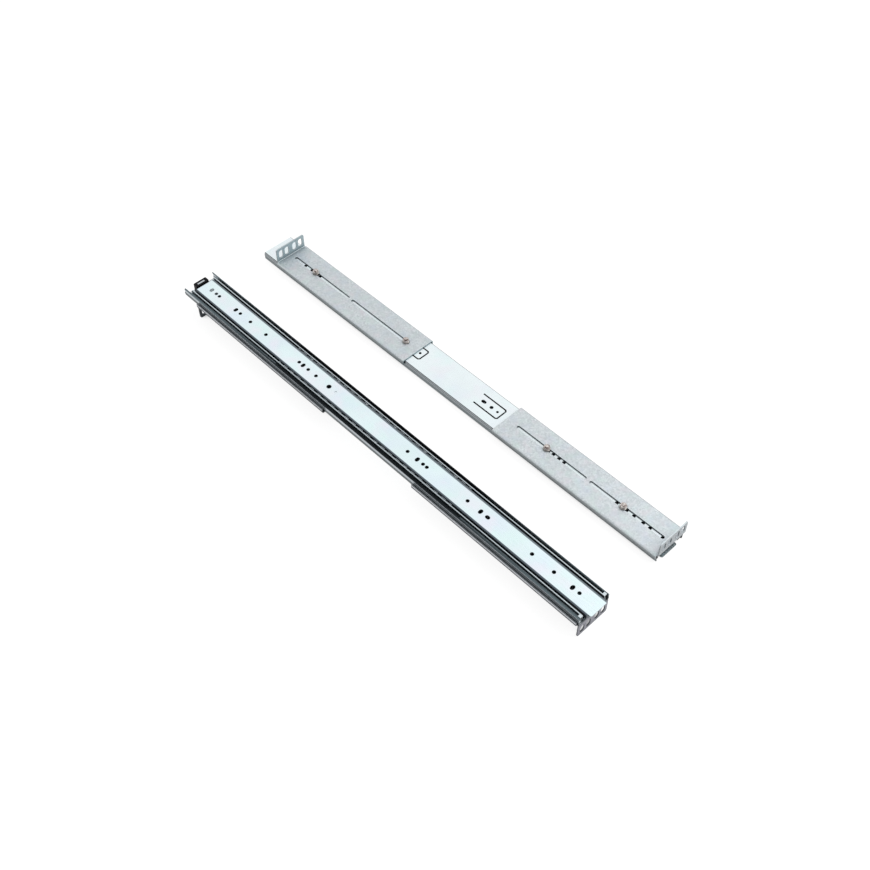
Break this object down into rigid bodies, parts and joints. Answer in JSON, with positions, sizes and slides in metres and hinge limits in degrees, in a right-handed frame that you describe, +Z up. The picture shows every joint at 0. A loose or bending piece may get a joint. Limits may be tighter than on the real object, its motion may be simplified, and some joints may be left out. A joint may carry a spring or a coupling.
{
  "type": "sliding server rail pair",
  "caption": "Pair of three-section ball-bearing slides with adjustable flanged brackets that carry a server in a rack.",
  "frame": {"origin": "middle of the pair's footprint, at floor level", "axes": "+X along both rails to their front ends, +Y from rail A to rail B, +Z up"},
  "size_m": [0.668, 0.1764, 0.0342],
  "materials": {
    "zinc_bright": "bright blue-white zinc plate",
    "zinc_race": "rolled zinc plate",
    "zinc_dull": "dull galvanised sheet",
    "retainer_steel": "greased strip steel",
    "ball_steel": "polished ball",
    "black_retainer": "black moulding",
    "black_plastic": "black moulding",
    "yellow_zinc": "yellow chromate",
    "washer_steel": "zinc plate"
  },
  "bodies": {
    "outer_rails": {"outer_member_a": "zinc_bright", "rear_bumper_a": "black_plastic", "clamp_screws_a": "yellow_zinc", "clamp_washers_a": "washer_steel", "clamp_nuts_a": "yellow_zinc", "outer_member_b": "zinc_bright", "rear_bumper_b": "black_plastic", "clamp_screws_b": "yellow_zinc", "clamp_washers_b": "washer_steel", "clamp_nuts_b": "yellow_zinc"},
    "intermediate_a": {"intermediate_member_a": "zinc_race", "front_pads_a": "black_plastic"},
    "inner_a": {"inner_member_a": "zinc_bright"},
    "outer_cage_a": {"outer_retainer_right_a": "black_retainer", "outer_retainer_left_a": "black_retainer", "outer_balls_a": "ball_steel"},
    "inner_cage_a": {"inner_retainer_a": "retainer_steel", "inner_balls_a": "ball_steel"},
    "front_bracket_a": {"front_bracket_a": "zinc_dull"},
    "rear_bracket_a": {"rear_bracket_a": "zinc_dull"},
    "intermediate_b": {"intermediate_member_b": "zinc_race", "front_pads_b": "black_plastic"},
    "inner_b": {"inner_member_b": "zinc_bright"},
    "outer_cage_b": {"outer_retainer_right_b": "black_retainer", "outer_retainer_left_b": "black_retainer", "outer_balls_b": "ball_steel"},
    "inner_cage_b": {"inner_retainer_b": "retainer_steel", "inner_balls_b": "ball_steel"},
    "front_bracket_b": {"front_bracket_b": "zinc_dull"},
    "rear_bracket_b": {"rear_bracket_b": "zinc_dull"}
  },
  "joints": [
    {"name": "intermediate_slide_a", "type": "slide", "parent": "outer_rails", "child": "intermediate_a", "axis": [1, 0, 0], "range_m": [0, 0.33]},
    {"name": "inner_slide_a", "type": "slide", "parent": "intermediate_a", "child": "inner_a", "axis": [1, 0, 0], "range_m": [-0.0045, 0.3255]},
    {"name": "outer_cage_slide_a", "type": "slide", "parent": "outer_rails", "child": "outer_cage_a", "axis": [1, 0, 0], "range_m": [0, 0.165]},
    {"name": "inner_cage_slide_a", "type": "slide", "parent": "intermediate_a", "child": "inner_cage_a", "axis": [1, 0, 0], "range_m": [-0.00225, 0.16275]},
    {"name": "front_bracket_slide_a", "type": "slide", "parent": "outer_rails", "child": "front_bracket_a", "axis": [1, 0, 0], "range_m": [-0.0526, 0.0456]},
    {"name": "rear_bracket_slide_a", "type": "slide", "parent": "outer_rails", "child": "rear_bracket_a", "axis": [-1, 0, 0], "range_m": [-0.0403, 0.0007]},
    {"name": "intermediate_slide_b", "type": "slide", "parent": "outer_rails", "child": "intermediate_b", "axis": [1, 0, 0], "range_m": [0, 0.33]},
    {"name": "inner_slide_b", "type": "slide", "parent": "intermediate_b", "child": "inner_b", "axis": [1, 0, 0], "range_m": [0, 0.33]},
    {"name": "outer_cage_slide_b", "type": "slide", "parent": "outer_rails", "child": "outer_cage_b", "axis": [1, 0, 0], "range_m": [0, 0.165]},
    {"name": "inner_cage_slide_b", "type": "slide", "parent": "intermediate_b", "child": "inner_cage_b", "axis": [1, 0, 0], "range_m": [0, 0.165]},
    {"name": "front_bracket_slide_b", "type": "slide", "parent": "outer_rails", "child": "front_bracket_b", "axis": [1, 0, 0], "range_m": [-0.0546, 0.0436]},
    {"name": "rear_bracket_slide_b", "type": "slide", "parent": "outer_rails", "child": "rear_bracket_b", "axis": [-1, 0, 0], "range_m": [-0.0383, 0.0027]}
  ],
  "couplings": [
    {"joint": "outer_cage_slide_a", "follows": "intermediate_slide_a", "ratio": 0.5},
    {"joint": "inner_cage_slide_a", "follows": "inner_slide_a", "ratio": 0.5},
    {"joint": "outer_cage_slide_b", "follows": "intermediate_slide_b", "ratio": 0.5},
    {"joint": "inner_cage_slide_b", "follows": "inner_slide_b", "ratio": 0.5}
  ]
}
